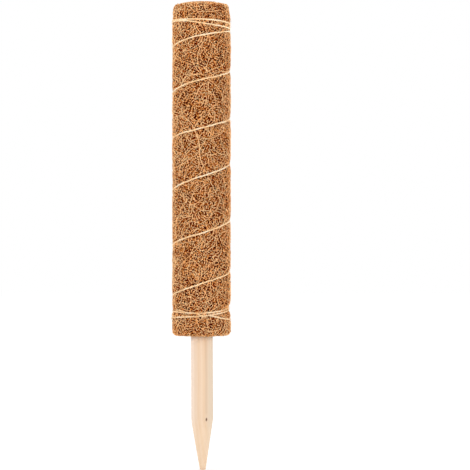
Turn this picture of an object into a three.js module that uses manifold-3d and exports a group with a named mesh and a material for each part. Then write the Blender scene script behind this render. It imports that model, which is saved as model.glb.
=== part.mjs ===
// Moss pole: a coconut-fibre mat rolled round a pointed wooden stake and lashed with one long twine.
// Millimetres, +Z up. The origin is on the stake's axis at the foot of the coir, which is the soil line.
// Turns are counted from the front (-Y) and grow towards +X, so a rising turn climbs from left to right.

import * as THREE from "three";
import { mergeVertices } from "three/addons/utils/BufferGeometryUtils.js";
import Module from "manifold-3d";

// Stake: a planed dowel with a long whittled point and a blunt tip
const STAKE_DIAMETER = 18.6;
const STAKE_BELOW_COIR = 115.5;
const POINT_LENGTH = 44.5;
const TIP_DIAMETER = 4.6;
const TIP_CHAMFER = 0.6;
const STAKE_TOP_RECESS = 4; // the sawn end lies this far below the top of the coir
const STAKE_TOP_CHAMFER = 0.8;
const STAKE_SIDES = 48;

// Coir mat: one sheet, rolled up with both long edges feathered so that the roll stays round
const COIR_HEIGHT = 284.5;
const MAT_THICKNESS = 4.7;
const MAT_TURNS = 3;
const LAYER_GAP = 0.35;
const BORE_CLEARANCE = 0.35;
const TOP_ROUND = 7;
const FOOT_ROUND = 4;
const FOOT_FLARE = 0.8; // the loose fibres below the foot binding spread by this much
const LAP_START_STEP = 12; // steps from the front to where the outer edge starts to feather, at the back
const LAP_STEPS = 5; // steps over which the feathered edges ramp

// Lashing twine: foot binding, open helix and head binding, all one strand
const TWINE_DIAMETER = 1.6;
const TWINE_SIDES = 6;
const STRAND_GAP = 0.45; // least space kept between neighbouring strands of a binding
const SEAT_CLEARANCE = 0.3; // between the twine or a knot and the coir under it
const FIRST_STEP = 1; // the twine leaves the foot knot one step to the right of the front
const FOOT_BAND_HEIGHT = 14.2; // lowest strand, above the foot of the coir
const HEAD_BAND_DROP = 15.4; // highest strand, below the top of the coir
const HELIX_FOOT_RISE = 30.2; // first open turn at the front, above the foot binding
const HELIX_HEAD_DROP = 13.3; // last open turn at the front, below the head binding
const HELIX_SHIFTS = [0, 0, 7, 5.7, 3.8, 0]; // how far the hand strayed from even turns, at the front
const HELIX_LEAN = 1.8; // the open turns lie this much lower on the right and higher on the left

// Bindings: heights at each quarter turn, in strands, so that a thicker twine spreads them.
// The foot counts up from its lowest strand and the head counts down from its highest.
const FOOT_BAND = [0.85, 0, 0.15, 0.4, 1.9, 3, 3.3, 3.5, 3.05, 4.8, 7.2];
const HEAD_BAND = [-4.5, -2.75, -1.05, -1.75, -3.2, -1.6, 0, -0.25, -1.25, -0.45];

// How far the twine draws the coir in, and how far up and down the dent reaches
const FOOT_BITE = 1.7;
const HELIX_BITE = 0.9;
const HEAD_BITE = 0.5;
const BITE_REACH = 7;
const BITE_SHOULDER = 4; // where the dent is sampled between its bottom and its reach

// Knots: a short barrel of turns with a cut tail
const KNOT_TURNS = 3;
const KNOT_DIAMETER = 3;
const KNOT_GROOVE = 0.5; // depth between its turns
const KNOT_TAIL = 3.5;
const KNOT_SIDES = 12;
const KNOT_TURN_POINTS = 4; // profile points over each turn

const STEPS = 24; // per turn, shared by the mat and the twine so that their facets lie parallel

const wasm = await Module();
wasm.setup();

const boreRadius = STAKE_DIAMETER / 2 + BORE_CLEARANCE;
const layerPitch = MAT_THICKNESS + LAYER_GAP;
const coirRadius = boreRadius + MAT_TURNS * layerPitch - LAYER_GAP;
const strandPitch = TWINE_DIAMETER + STRAND_GAP;
const twineRadius = TWINE_DIAMETER / 2;
const headBandHeight = COIR_HEIGHT - HEAD_BAND_DROP;
const knotLength = KNOT_TURNS * TWINE_DIAMETER;

/** Point at a radius, a position in turns from the front, and a height. */
function around(radius, turn, height) {
  const angle = turn * 2 * Math.PI;
  return new THREE.Vector3(radius * Math.sin(angle), -radius * Math.cos(angle), height);
}

// Twine route

/** Heights of the open turns where they cross the front, from low to high. */
function helixFronts() {
  const low = FOOT_BAND_HEIGHT + HELIX_FOOT_RISE;
  const high = headBandHeight - HELIX_HEAD_DROP;
  const pitch = (high - low) / (HELIX_SHIFTS.length - 1);
  return HELIX_SHIFTS.map((shift, turn) => low + turn * pitch + shift);
}

/** Heights of the twine at every quarter turn, from the foot knot to the head knot. */
function quarterHeights() {
  const fronts = helixFronts();
  const heights = FOOT_BAND.map((strands) => FOOT_BAND_HEIGHT + strands * strandPitch);
  heights.push(fronts[0] - (fronts[1] - fronts[0]) / 4 + HELIX_LEAN);
  for (let turn = 0; turn + 1 < fronts.length; turn += 1) {
    const quarter = (fronts[turn + 1] - fronts[turn]) / 4;
    heights.push(fronts[turn]);
    heights.push(fronts[turn] + quarter - HELIX_LEAN);
    heights.push(fronts[turn] + quarter * 2);
    heights.push(fronts[turn] + quarter * 3 + HELIX_LEAN);
  }
  heights.push(fronts[fronts.length - 1]);
  HEAD_BAND.forEach((strands) => heights.push(headBandHeight + strands * strandPitch));
  return heights;
}

const quarters = quarterHeights();
const routeTurns = (quarters.length - 1) / 4;
const routeCurve = new THREE.SplineCurve(quarters.map((height, i) => new THREE.Vector2(i / 4, height)));
const footBandTurns = (FOOT_BAND.length - 1) / 4;
const headBandTurns = (HEAD_BAND.length - 1) / 4;

const lastStep = Math.round(routeTurns * STEPS);

/** Height of the twine where it has made this many turns. */
function routeHeight(turns) {
  return routeCurve.getPoint(turns / routeTurns).y;
}

/** How deep the twine sits in the coir along its route: tight at the foot, lighter higher up. */
function routeBite(turns) {
  const leavesFoot = THREE.MathUtils.smoothstep(turns, footBandTurns - 0.5, footBandTurns + 0.5);
  const headStart = routeTurns - headBandTurns;
  const reachesHead = THREE.MathUtils.smoothstep(turns, headStart - 0.5, headStart + 0.5);
  return FOOT_BITE + (HELIX_BITE - FOOT_BITE) * leavesFoot + (HEAD_BITE - HELIX_BITE) * reachesHead;
}

/** Every pass of the twine over one line up the pole, from low to high. */
function crossingsAt(turn) {
  const passes = [];
  const first = THREE.MathUtils.euclideanModulo(turn, 1);
  for (let turns = first; turns <= routeTurns; turns += 1) {
    passes.push({ height: routeHeight(turns), bite: routeBite(turns) });
  }
  return passes;
}

// Outside of the roll

/** Steps between a place round the roll and the feathered outer edge of the mat. */
function stepsFromLap(turn) {
  const edge = (LAP_START_STEP + LAP_STEPS - 1) / STEPS;
  const away = THREE.MathUtils.euclideanModulo(turn - edge + 0.5, 1) - 0.5;
  return Math.abs(away) * STEPS;
}

/** Radius of the coir's outside: round, drawn in under the twine, spread below the foot binding. */
function outsideRadius(turn, height, crossings) {
  const share = Math.min(1, stepsFromLap(turn) / (LAP_STEPS - 1));
  const dents = crossings.map(({ height: at, bite }) => {
    const near = Math.max(0, 1 - Math.abs(height - at) / BITE_REACH);
    return bite * near * near;
  });
  const flare = FOOT_FLARE * (1 - THREE.MathUtils.smoothstep(height, 0, FOOT_BAND_HEIGHT));
  return coirRadius + share * (flare - Math.max(0, ...dents));
}

/** How far the rounded rim falls away at a radius. */
function rimDrop(radius, round) {
  const into = THREE.MathUtils.clamp(radius - (coirRadius - round), 0, round);
  return round - Math.sqrt(round * round - into * into);
}

const footAt = (radius) => rimDrop(radius, FOOT_ROUND);
const topAt = (radius) => COIR_HEIGHT - rimDrop(radius, TOP_ROUND);

// Mesh helpers

/** Collects vertices and triangles, and stitches neighbouring rows of vertices together. */
class Skin {
  constructor() {
    this.points = [];
    this.triangles = [];
  }

  add(point) {
    return this.points.push(point) - 1;
  }

  /** Fills the band between two rows, which may have different numbers of vertices. */
  zip(left, right) {
    let i = 0;
    let j = 0;
    while (i < left.length - 1 || j < right.length - 1) {
      if (this.leftIsNext(left, right, i, j)) {
        this.face(left[i], right[j], left[i + 1]);
        i += 1;
      } else {
        this.face(left[i], right[j], right[j + 1]);
        j += 1;
      }
    }
  }

  /** Whether the shorter of the two possible diagonals goes to the left row. */
  leftIsNext(left, right, i, j) {
    if (i === left.length - 1 || j === right.length - 1) {
      return j === right.length - 1;
    }
    const toLeft = this.points[left[i + 1]].distanceTo(this.points[right[j]]);
    const toRight = this.points[right[j + 1]].distanceTo(this.points[left[i]]);
    return toLeft < toRight;
  }

  face(a, b, c) {
    if (a !== b && b !== c && c !== a) {
      this.triangles.push(a, b, c);
    }
  }

  geometry() {
    const built = new THREE.BufferGeometry().setFromPoints(this.points);
    built.setIndex(this.triangles);
    return built;
  }
}

/** One unbroken tube through rings of points, closed at both ends. */
function tubeThrough(rings) {
  const skin = new Skin();
  const rows = rings.map((ring) => ring.map((point) => skin.add(point)));
  const closed = rows.map((row) => [...row, row[0]]);
  for (let i = 0; i + 1 < closed.length; i += 1) {
    skin.zip(closed[i], closed[i + 1]);
  }
  const first = rows[0];
  const last = rows[rows.length - 1];
  for (let side = 1; side + 1 < first.length; side += 1) {
    skin.face(first[0], first[side], first[side + 1]);
    skin.face(last[0], last[side + 1], last[side]);
  }
  return skin.geometry();
}

/** A closed mesh as a solid that can be joined to another. */
function solidOf(geometry) {
  const bare = geometry.clone();
  bare.deleteAttribute("normal");
  bare.deleteAttribute("uv");
  const merged = mergeVertices(bare, 1e-4);
  return new wasm.Manifold(
    new wasm.Mesh({
      numProp: 3,
      vertProperties: new Float32Array(merged.attributes.position.array),
      triVerts: new Uint32Array(merged.index.array),
    }),
  );
}

function geometryOf(solid) {
  const mesh = solid.getMesh();
  const built = new THREE.BufferGeometry();
  built.setAttribute("position", new THREE.BufferAttribute(mesh.vertProperties, 3));
  built.setIndex(new THREE.BufferAttribute(mesh.triVerts, 1));
  return built;
}

// Stake

function stakeGeometry() {
  const radius = STAKE_DIAMETER / 2;
  const tipRadius = TIP_DIAMETER / 2;
  const tip = -STAKE_BELOW_COIR;
  const top = COIR_HEIGHT - STAKE_TOP_RECESS;
  const profile = [
    [0, tip],
    [tipRadius - TIP_CHAMFER, tip],
    [tipRadius, tip + TIP_CHAMFER],
    [radius, tip + POINT_LENGTH],
    [radius, top - STAKE_TOP_CHAMFER],
    [radius - STAKE_TOP_CHAMFER, top],
    [0, top],
  ];
  const turned = new THREE.LatheGeometry(
    profile.map(([x, y]) => new THREE.Vector2(x, y)),
    STAKE_SIDES,
  );
  return turned.rotateX(Math.PI / 2);
}

// Coir mat

/** Layers laid down at a step of the roll, ramping up wherever a turn climbs over the one before. */
function layersAt(step) {
  const turn = Math.floor(step / STEPS);
  return Math.min(MAT_TURNS, turn + Math.min(1, (step - turn * STEPS) / LAP_STEPS));
}

/** Heights at which the outside is sampled: at each strand, beside it and half way to the next. */
function outsideRows(crossings) {
  const low = footAt(coirRadius);
  const high = topAt(coirRadius);
  const rows = [low, FOOT_BAND_HEIGHT / 2, high];
  crossings.forEach(({ height }, k) => {
    rows.push(height);
    const next = k + 1 < crossings.length ? crossings[k + 1].height : high;
    rows.push((height + next) / 2);
    if (next - height > 3 * BITE_SHOULDER) {
      rows.push(height + BITE_SHOULDER, next - BITE_SHOULDER);
    }
  });
  return rows.sort((a, b) => a - b);
}

/** Points across one end of a layer, from its outside to its inside, over the rounded rim. */
function endRow(outer, inner, turn, heightAt, cuts) {
  const points = [];
  for (let cut = 1; cut < cuts; cut += 1) {
    const share = (cut / cuts) ** 2;
    const radius = outer + (inner - outer) * share;
    points.push(around(radius, turn, heightAt(radius)));
  }
  return points;
}

/** The section of the mat at one step: outside going up, top going in, inside going down, foot going out. */
function matSection(skin, step) {
  const turn = (LAP_START_STEP + step) / STEPS;
  const inner = boreRadius + (step < STEPS ? 0 : layersAt(step - STEPS) * layerPitch);
  const outer = boreRadius + layersAt(step) * layerPitch - LAYER_GAP;
  const lastStepOfMat = MAT_TURNS * STEPS + LAP_STEPS - 1;
  const shows = step >= (MAT_TURNS - 1) * STEPS + LAP_STEPS && step < lastStepOfMat;
  const crossings = crossingsAt(turn);
  const heights = shows ? outsideRows(crossings) : [footAt(outer), topAt(outer)];
  const outside = heights.map((height) => {
    const radius = shows ? outsideRadius(turn, height, crossings) : outer;
    return skin.add(around(radius, turn, height));
  });
  const insideTop = skin.add(around(inner, turn, topAt(inner)));
  const insideFoot = skin.add(around(inner, turn, footAt(inner)));
  const cuts = shows ? 3 : 1;
  const top = endRow(outer, inner, turn, topAt, cuts).map((point) => skin.add(point));
  const foot = endRow(outer, inner, turn, footAt, cuts).map((point) => skin.add(point));
  return {
    outside,
    top: [outside[outside.length - 1], ...top, insideTop],
    inside: [insideTop, insideFoot],
    foot: [insideFoot, ...foot.reverse(), outside[0]],
  };
}

function coirMatGeometry() {
  const skin = new Skin();
  const sections = [];
  for (let step = 1; step < MAT_TURNS * STEPS + LAP_STEPS; step += 1) {
    sections.push(matSection(skin, step));
  }
  for (let i = 0; i + 1 < sections.length; i += 1) {
    for (const side of ["outside", "top", "inside", "foot"]) {
      skin.zip(sections[i][side], sections[i + 1][side]);
    }
  }
  const first = sections[0];
  const last = sections[sections.length - 1];
  skin.zip([...first.inside].reverse(), first.outside);
  skin.zip(last.outside, [...last.inside].reverse());
  return skin.geometry();
}

// Lashing twine

/** Where the twine's middle lies at a step: in its dent, clear of the coir. */
function twinePoint(step) {
  const turns = step / STEPS;
  const height = routeHeight(turns);
  const seat = outsideRadius(turns, height, crossingsAt(turns));
  return around(seat + SEAT_CLEARANCE + twineRadius, turns, height);
}

/** The route's points, with a straight lead of one diameter at each end, square to its knot. */
function twinePoints() {
  const points = [];
  for (let step = FIRST_STEP; step <= lastStep; step += 1) {
    points.push(twinePoint(step));
  }
  const lead = (from, to) => to.clone().add(to.clone().sub(from).setLength(TWINE_DIAMETER));
  return [lead(points[1], points[0]), ...points, lead(points[points.length - 2], points[points.length - 1])];
}

const twineRoute = twinePoints();

/** A ring of the tube, square to the route, with one corner towards the stake. */
function twineRing(points, i) {
  const ahead = points[Math.min(i + 1, points.length - 1)];
  const behind = points[Math.max(i - 1, 0)];
  const along = ahead.clone().sub(behind).normalize();
  const out = new THREE.Vector3(points[i].x, points[i].y, 0);
  out.addScaledVector(along, -out.dot(along)).normalize();
  const side = along.clone().cross(out);
  return Array.from({ length: TWINE_SIDES }, (_, k) => {
    const angle = (k / TWINE_SIDES) * 2 * Math.PI;
    const corner = points[i].clone().addScaledVector(out, -twineRadius * Math.cos(angle));
    return corner.addScaledVector(side, twineRadius * Math.sin(angle));
  });
}

function twineGeometry() {
  return tubeThrough(twineRoute.map((_, i) => twineRing(twineRoute, i)));
}

/** Least space between two stretches of the twine that are at least half a turn apart. */
function leastTwineGap() {
  let least = Infinity;
  for (let i = 0; i < twineRoute.length; i += 1) {
    for (let j = i + STEPS / 2; j < twineRoute.length; j += 1) {
      least = Math.min(least, twineRoute[i].distanceTo(twineRoute[j]));
    }
  }
  return least - TWINE_DIAMETER;
}

// Knots

/** A barrel of tight turns along +X, on coir that curves away below it, with a cut tail at its far end. */
function knotGeometry() {
  const crest = KNOT_DIAMETER / 2;
  const profile = [new THREE.Vector2(0, -knotLength / 2)];
  for (let k = 0; k < KNOT_TURNS * KNOT_TURN_POINTS; k += 1) {
    const turns = (k + 0.5) / KNOT_TURN_POINTS;
    const dip = KNOT_GROOVE * (1 - Math.abs(Math.sin(turns * Math.PI)));
    profile.push(new THREE.Vector2(crest - dip, turns * TWINE_DIAMETER - knotLength / 2));
  }
  profile.push(new THREE.Vector2(0, knotLength / 2));
  const barrel = new THREE.LatheGeometry(profile, KNOT_SIDES).rotateZ(-Math.PI / 2);
  const reach = knotLength / 2 + KNOT_TAIL;
  const drop = crest - twineRadius + reach ** 2 / (2 * coirRadius);
  const tail = new THREE.ExtrudeGeometry(twineSection(), {
    steps: Math.ceil(KNOT_TAIL),
    bevelEnabled: false,
    extrudePath: new THREE.QuadraticBezierCurve3(
      new THREE.Vector3(0, 0, 0),
      new THREE.Vector3(reach / 2, 0, 0),
      new THREE.Vector3(reach, 0, -drop),
    ),
  });
  return geometryOf(solidOf(barrel).add(solidOf(tail)));
}

/** The twine's section as a flat outline. */
function twineSection() {
  const corners = Array.from({ length: TWINE_SIDES }, (_, k) => {
    const angle = (k / TWINE_SIDES) * 2 * Math.PI;
    return new THREE.Vector2(twineRadius * Math.cos(angle), twineRadius * Math.sin(angle));
  });
  return new THREE.Shape(corners);
}

/** Height for a knot near this one, moved off any neighbouring strand that it would touch. */
function clearHeight(turn, height) {
  const room = KNOT_DIAMETER / 2 + twineRadius + SEAT_CLEARANCE;
  const others = crossingsAt(turn).map((pass) => pass.height - height);
  const above = Math.min(...others.filter((away) => away > strandPitch / 2), Infinity);
  const below = Math.max(...others.filter((away) => away < -strandPitch / 2), -Infinity);
  return height + Math.min(0, above - room) + Math.max(0, below + room);
}

/** Seats a knot just past an end of the twine, in line with it and clear of the coir. */
function placeKnot(mesh, end, before) {
  const along = end.clone().sub(before).normalize();
  const middle = end.clone().addScaledVector(along, SEAT_CLEARANCE + knotLength / 2);
  const turn = Math.atan2(middle.x, -middle.y) / (2 * Math.PI);
  const height = clearHeight(turn, middle.z);
  const seat = outsideRadius(turn, height, crossingsAt(turn));
  mesh.position.copy(around(seat + SEAT_CLEARANCE + KNOT_DIAMETER / 2, turn, height));
  const out = around(1, turn, 0);
  const axis = along.clone().addScaledVector(out, -along.dot(out)).normalize();
  const side = out.clone().cross(axis);
  mesh.quaternion.setFromRotationMatrix(new THREE.Matrix4().makeBasis(axis, side, out));
}

// Assembly

const wood = new THREE.MeshStandardMaterial({ color: 0xf2d5b8, roughness: 0.6, metalness: 0 });
const coir = new THREE.MeshStandardMaterial({ color: 0xb07a45, roughness: 1, metalness: 0 });
const twine = new THREE.MeshStandardMaterial({ color: 0xf0d2a0, roughness: 0.9, metalness: 0 });

function piece(name, geometry, material) {
  const mesh = new THREE.Mesh(geometry, material.clone());
  mesh.name = name;
  return mesh;
}

const footKnot = piece("foot_knot", knotGeometry(), twine);
placeKnot(footKnot, twineRoute[0], twineRoute[1]);
const headKnot = piece("head_knot", knotGeometry(), twine);
placeKnot(headKnot, twineRoute[twineRoute.length - 1], twineRoute[twineRoute.length - 2]);

const mossPole = new THREE.Group();
mossPole.add(
  piece("stake", stakeGeometry(), wood),
  piece("coir_mat", coirMatGeometry(), coir),
  piece("lashing_twine", twineGeometry(), twine),
  footKnot,
  headKnot,
);

console.log(`Least gap between turns of the twine: ${leastTwineGap().toFixed(2)} mm`);

export default mossPole;
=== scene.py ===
# %% [markdown]
# A moss pole, dressed in Blender
#
# A moss pole is a garden support for climbing plants. A mat of coconut fibre is rolled round a pointed
# wooden stake and lashed with one long twine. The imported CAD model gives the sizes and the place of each
# piece. This lesson gives the pole its looks: pale wood, curly fibres and a twisted twine.
#
# Lengths in the sums below are millimetres, as on the drawing. Blender works in metres, so each mesh is
# made small by MM as its points are written.

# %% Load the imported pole
import math

import bmesh
import bpy
import numpy as np
from mathutils import Matrix, Vector, noise


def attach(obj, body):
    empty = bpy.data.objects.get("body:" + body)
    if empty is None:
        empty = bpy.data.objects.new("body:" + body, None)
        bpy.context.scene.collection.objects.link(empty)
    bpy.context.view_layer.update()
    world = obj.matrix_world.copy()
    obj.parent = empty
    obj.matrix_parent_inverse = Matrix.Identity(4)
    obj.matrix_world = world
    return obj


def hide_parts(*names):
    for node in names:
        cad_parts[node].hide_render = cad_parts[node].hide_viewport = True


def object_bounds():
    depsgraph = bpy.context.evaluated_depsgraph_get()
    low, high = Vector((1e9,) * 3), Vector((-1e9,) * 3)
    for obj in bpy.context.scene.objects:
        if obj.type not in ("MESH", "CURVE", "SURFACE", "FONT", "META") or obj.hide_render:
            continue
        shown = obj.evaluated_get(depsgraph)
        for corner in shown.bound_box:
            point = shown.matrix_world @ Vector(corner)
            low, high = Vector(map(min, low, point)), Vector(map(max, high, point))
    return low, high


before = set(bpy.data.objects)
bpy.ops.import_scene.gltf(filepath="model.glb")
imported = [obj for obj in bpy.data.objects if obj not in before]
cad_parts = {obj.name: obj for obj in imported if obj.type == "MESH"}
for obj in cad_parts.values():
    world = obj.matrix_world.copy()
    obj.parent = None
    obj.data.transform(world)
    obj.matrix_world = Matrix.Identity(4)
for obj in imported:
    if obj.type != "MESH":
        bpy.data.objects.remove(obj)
cad_low, cad_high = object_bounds()

MM = 0.001
scene = bpy.context.scene
print("nodes:", sorted(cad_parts), "box in mm:", [round(x / MM, 1) for x in cad_high - cad_low])

# %% [markdown]
# The camera
#
# The photograph looks straight at the pole from about half its height, from far away: the bindings near
# the top arch up by only a few pixels. A long lens two metres off gives the same flat view. The width of
# the frame follows from the size of one pixel at the pole, and the pole stands a little left of the middle.

# %% Camera
PHOTO_PIXELS = 470
MM_PER_PIXEL = 0.857
POLE_PIXEL = 201.5
EYE_HEIGHT = 85.7
CAMERA_DISTANCE = 2000.0
SENSOR = 36.0

frame_width = PHOTO_PIXELS * MM_PER_PIXEL
camera_side = (PHOTO_PIXELS / 2 - POLE_PIXEL) * MM_PER_PIXEL
lens = bpy.data.cameras.new("camera")
lens.sensor_width = SENSOR
lens.lens = SENSOR * CAMERA_DISTANCE / frame_width
camera = bpy.data.objects.new("camera", lens)
camera.location = Vector((camera_side, -CAMERA_DISTANCE, EYE_HEIGHT)) * MM
camera.rotation_euler = (math.pi / 2, 0, 0)
scene.collection.objects.link(camera)
scene.camera = camera
scene.view_settings.view_transform = "Standard"
print("frame width in mm:", round(frame_width, 1), "focal length in mm:", round(lens.lens, 1))

# %% [markdown]
# Colours and nodes
#
# Colours are written as the eye meets them, as sRGB hex values, and one function turns them into the
# linear light that shaders work with. Every material below is a small tree of nodes. One function adds a
# node: plain values are set on its sockets, and the output of another node is linked to them. Wood, coir and
# jute are all matt plant fibre, with a refractive index near 1.5, so one function ends their materials.

# %% Helpers for colours and nodes
PLANT_IOR = 1.5


def linear(code):
    """Linear RGBA of an sRGB hex colour."""
    shares = [int(code[i : i + 2], 16) / 255 for i in (1, 3, 5)]
    return [s / 12.92 if s <= 0.04045 else ((s + 0.055) / 1.055) ** 2.4 for s in shares] + [1.0]


def add_node(tree, kind, inputs=None, stops=None, **settings):
    """A new node of this kind, with its settings, its socket values or links, and a ramp's stops."""
    node = tree.nodes.new("ShaderNode" + kind)
    for name, value in settings.items():
        setattr(node, name, value)
    for socket, value in (inputs or {}).items():
        if isinstance(value, bpy.types.NodeSocket):
            tree.links.new(value, node.inputs[socket])
        else:
            node.inputs[socket].default_value = value
    for i, (place, colour) in enumerate(stops or []):
        elements = node.color_ramp.elements
        stop = elements[i] if i < len(elements) else elements.new(place)
        stop.position = place
        stop.color = linear(colour)
    return node


def new_material(name):
    """An empty material of this name, and its tree of nodes."""
    material = bpy.data.materials.new(name)
    material.use_nodes = True
    material.node_tree.nodes.clear()
    return material, material.node_tree


def matt_surface(tree, colour, pattern, rough, bump, depth, shine):
    """The surface of a plant fibre: its colour, and a pattern that gives its roughness and its relief."""
    low, high = rough
    rough = add_node(tree, "MapRange", {"Value": pattern, "To Min": low, "To Max": high})
    relief = add_node(tree, "Bump", {"Strength": bump, "Distance": depth * MM, "Height": pattern})
    skin = add_node(
        tree, "BsdfPrincipled",
        {"Base Color": colour, "Roughness": rough.outputs[0], "IOR": PLANT_IOR, "Specular IOR Level": shine,
         "Normal": relief.outputs[0]},
    )
    add_node(tree, "OutputMaterial", {"Surface": skin.outputs[0]})


print("mid grey in linear light:", round(linear("#808080")[0], 3))

# %% [markdown]
# The studio
#
# The photograph is a cut-out on white: light comes from all round and there is hardly a shadow. A pale
# world gives the even part. Two soft boxes, left and right of the camera, rake over the fibres so that each
# one shows, and a third hangs overhead. The camera sees the world as plain white. The floor is white paper
# that catches the pole's shadow. For the camera a little white is added to it, more of it further off, so
# that it runs into the background with no edge and the shadow at the pole stays.

# %% World and floor
WORLD_LEVEL = 0.45
LIFT_NEAR = 0.3
LIFT_FAR = 0.6
LIFT_REACH = 1.2
FLOOR_SIZE = 12.0
WHITE = linear("#FFFFFF")
PAPER = linear("#F2F2F2")


def seen_directly(tree):
    """A socket that is 1 for rays from the camera, straight or by way of a mirror or glass."""
    path = add_node(tree, "LightPath")
    rays = [path.outputs["Is " + kind + " Ray"] for kind in ("Camera", "Glossy", "Transmission")]
    either = add_node(tree, "Math", {0: rays[0], 1: rays[1]}, operation="MAXIMUM")
    return add_node(tree, "Math", {0: either.outputs[0], 1: rays[2]}, operation="MAXIMUM").outputs[0]


world = bpy.data.worlds.new("studio")
world.use_nodes = True
tree = world.node_tree
tree.nodes.clear()
glow = add_node(tree, "Background", {"Color": WHITE, "Strength": WORLD_LEVEL})
white = add_node(tree, "Background", {"Color": WHITE, "Strength": 1.0})
either = add_node(tree, "MixShader", {0: seen_directly(tree), 1: glow.outputs[0], 2: white.outputs[0]})
add_node(tree, "OutputWorld", {"Surface": either.outputs[0]})
scene.world = world

paper, tree = new_material("white_paper")
place = add_node(tree, "TexCoord").outputs["Object"]
from_pole = add_node(tree, "VectorMath", {0: place}, operation="LENGTH").outputs["Value"]
lift = add_node(
    tree, "MapRange", {"Value": from_pole, "From Max": LIFT_REACH, "To Min": LIFT_NEAR, "To Max": LIFT_FAR}
)
lift = add_node(tree, "Math", {0: seen_directly(tree), 1: lift.outputs[0]}, operation="MULTIPLY")
matt = add_node(tree, "BsdfDiffuse", {"Color": PAPER})
glow = add_node(tree, "Emission", {"Color": WHITE, "Strength": lift.outputs[0]})
both = add_node(tree, "AddShader", {0: matt.outputs[0], 1: glow.outputs[0]})
add_node(tree, "OutputMaterial", {"Surface": both.outputs[0]})

bm = bmesh.new()
bmesh.ops.create_grid(bm, x_segments=1, y_segments=1, size=FLOOR_SIZE / 2)
bmesh.ops.translate(bm, verts=bm.verts, vec=(0, 0, cad_low.z))
floor_mesh = bpy.data.meshes.new("floor")
bm.to_mesh(floor_mesh)
bm.free()
floor_mesh.materials.append(paper)
floor = bpy.data.objects.new("floor", floor_mesh)
scene.collection.objects.link(floor)
print("floor at", round(cad_low.z / MM, 1), "mm")

# %% Lamps
LAMPS = {
    # place in metres, size in metres, power in watts
    "soft_box_left": ((-1.7, -1.05, 0.45), 0.8, 23.5),
    "soft_box_right": ((1.7, -1.05, 0.4), 0.8, 23.5),
    "soft_box_above": ((0.0, 0.3, 2.2), 1.2, 9.0),
}
pole_middle = (cad_low + cad_high) / 2
for name, (place, size, power) in LAMPS.items():
    data = bpy.data.lights.new(name, "AREA")
    data.shape = "DISK"
    data.size = size
    data.energy = power
    lamp = bpy.data.objects.new(name, data)
    lamp.location = place
    lamp.rotation_euler = (pole_middle - Vector(place)).to_track_quat("-Z", "Y").to_euler()
    lamp.visible_camera = False
    scene.collection.objects.link(lamp)
print("lamps:", len(LAMPS), "watts in all:", sum(power for _, _, power in LAMPS.values()))

# %% [markdown]
# Putting a piece in place
#
# Every piece of the pole is a mesh at the origin that rides on the one body of the model. It wears its
# material, and the CAD solid that it stands for is hidden.

# %% Finish a piece


def place_piece(name, mesh, material, stands_for=()):
    """A piece of the pole from a finished mesh."""
    mesh.materials.append(material)
    mesh.polygons.foreach_set("use_smooth", [True] * len(mesh.polygons))
    piece = bpy.data.objects.new(name, mesh)
    scene.collection.objects.link(piece)
    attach(piece, "root")
    for node in stands_for:
        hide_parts(node)
    triangles = sum(len(p.vertices) - 2 for p in mesh.polygons)
    print(name, "has", triangles, "triangles")


# %% [markdown]
# Planed softwood
#
# The stake is a machine-planed dowel of spruce or pine, left raw. To the eye that is an even, pale cream
# with a breath of pink. The dowel was turned from beside the heart of the tree, so the growth rings run
# round a line outside it and meet the surface as faint upright bands. A wave texture with rings gives them,
# with a scale that comes from the ring width. The left side is painted paler, as painted light, and the
# right side duller, as painted shade. Softwood pores are far finer than a pixel, so the fine grain is drawn
# about a millimetre wide to show at all. One dark late-wood line runs down the front into a pin knot, the
# trace of a twig, and below that the point is painted paler again, as painted light on its downward taper.

# %% Softwood: rings and grain
RING_WIDTH = 3.4
WAVE_SPACING = 0.314  # from ring to ring of a wave texture at scale 1
GRAIN_WIDTH = 0.9
GRAIN_SHARE = 0.3
ALONG_GRAIN = 0.018
HEART = (-21.0, 13.0, 0.0)
STAKE_RADIUS = 9.4
# painted light and shade: the left side of the stake is painted paler and the right side darker, as the
# lamps light the round stake
LIT_AND_SHADED_SIDES = {
    # where it starts and is full in mm from the axis, to the right, and its colour
    "painted_light_left": (-3.5, -STAKE_RADIUS, "#EAD7C8"),
    "painted_shade_right": (4.0, 7.0, "#DBC7B0"),
}

softwood, tree = new_material("planed_softwood")
place = add_node(tree, "TexCoord").outputs["Object"]
squeezed = {"Vector": place, "Scale": (1, 1, ALONG_GRAIN)}
from_heart = add_node(tree, "Mapping", {**squeezed, "Location": [-x * MM for x in HEART]}).outputs[0]
ring_scale = WAVE_SPACING / (RING_WIDTH * MM)
rings = add_node(
    tree, "TexWave", {"Vector": from_heart, "Scale": ring_scale, "Distortion": 1.2, "Detail": 2.0},
    wave_type="RINGS", rings_direction="Z", wave_profile="SIN",
)
drawn_out = add_node(tree, "Mapping", squeezed).outputs[0]
grain_scale = 1 / (GRAIN_WIDTH * MM)
grain = add_node(
    tree, "TexNoise", {"Vector": drawn_out, "Scale": grain_scale, "Detail": 3.0, "Roughness": 0.6}
).outputs["Fac"]
ring_stops = [(0.0, "#E6CBB1"), (0.6, "#E4C8AB"), (1.0, "#E2C4A5")]
grain_stops = [(0.3, "#EBD5BE"), (0.5, "#FFFFFF"), (0.7, "#FFFFFF")]
ring_colour = add_node(tree, "ValToRGB", {0: rings.outputs["Fac"]}, stops=ring_stops).outputs[0]
grain_colour = add_node(tree, "ValToRGB", {0: grain}, stops=grain_stops).outputs[0]
wood = add_node(
    tree, "Mix", {0: GRAIN_SHARE, 6: ring_colour, 7: grain_colour}, data_type="RGBA", blend_type="MULTIPLY"
).outputs[2]
right, back, up = add_node(tree, "SeparateXYZ", {0: place}).outputs
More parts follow.
